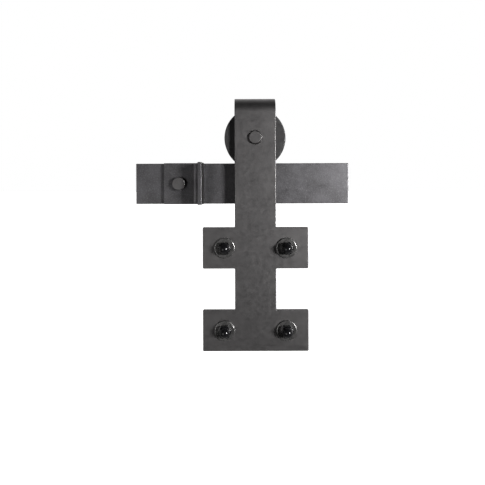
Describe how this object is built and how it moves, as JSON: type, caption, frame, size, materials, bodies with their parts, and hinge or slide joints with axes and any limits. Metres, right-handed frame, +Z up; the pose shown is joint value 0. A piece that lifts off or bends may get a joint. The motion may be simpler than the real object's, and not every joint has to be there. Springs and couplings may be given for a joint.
{
  "type": "sliding barn door hardware",
  "caption": "Strap hanger with a grooved wheel that rolls along a flat wall rail on stand-offs, with a rail stop, for hanging a sliding barn door.",
  "frame": {"origin": "centre of the first stand-off's end face, on the wall plane and on the first wall screw's axis", "axes": "+X along the rail away from the stop, +Y into the wall, +Z up"},
  "size_m": [0.268, 0.1208, 0.3134],
  "materials": {
    "rail_steel": "satin powder coat",
    "hanger_steel": "satin powder coat",
    "wheel_steel": "satin powder coat, worn on the tread",
    "gloss_black_steel": "gloss black",
    "zinc_steel": "zinc plated",
    "bearing_steel": "ground and polished",
    "spring_steel": "blackened",
    "cage_brass": "turned",
    "nylon": "moulded",
    "rubber": "matt"
  },
  "bodies": {
    "rail_assembly": {"rail": "rail_steel", "standoffs": "rail_steel", "wall_screws": "zinc_steel", "screw_caps": "hanger_steel", "stop_bracket": "rail_steel", "stop_bumper": "rubber"},
    "hanger": {"hanger_strap": "hanger_steel", "axle_bolt": "hanger_steel", "axle_washer": "zinc_steel", "axle_nut": "zinc_steel", "axle_nut_insert": "nylon", "front_spacer": "zinc_steel", "back_spacer": "zinc_steel", "bearing_inner_race": "bearing_steel", "door_bolts": "gloss_black_steel", "door_washers": "gloss_black_steel", "cap_nuts": "gloss_black_steel"},
    "rolling_wheel": {"wheel": "wheel_steel", "bearing_outer_race": "bearing_steel", "bearing_shields": "zinc_steel", "retaining_rings": "spring_steel"},
    "ball_set": {"bearing_balls": "bearing_steel", "bearing_cage": "cage_brass"}
  },
  "joints": [
    {"name": "door_slide", "type": "slide", "parent": "rail_assembly", "child": "hanger", "axis": [1, 0, 0], "range_m": [-0.0373, 0.07]},
    {"name": "wheel_roll", "type": "hinge", "parent": "hanger", "child": "rolling_wheel", "pos_m": [0.0951, -0.03492, 0.0566], "axis": [0, 1, 0], "range_deg": [-70, 131]},
    {"name": "ball_orbit", "type": "hinge", "parent": "hanger", "child": "ball_set", "pos_m": [0.0951, -0.03492, 0.0566], "axis": [0, 1, 0], "range_deg": [-45, 84]}
  ],
  "couplings": [
    {"joint": "wheel_roll", "follows": "door_slide", "rad_per_m": 32.258},
    {"joint": "ball_orbit", "follows": "door_slide", "rad_per_m": 20.454}
  ]
}
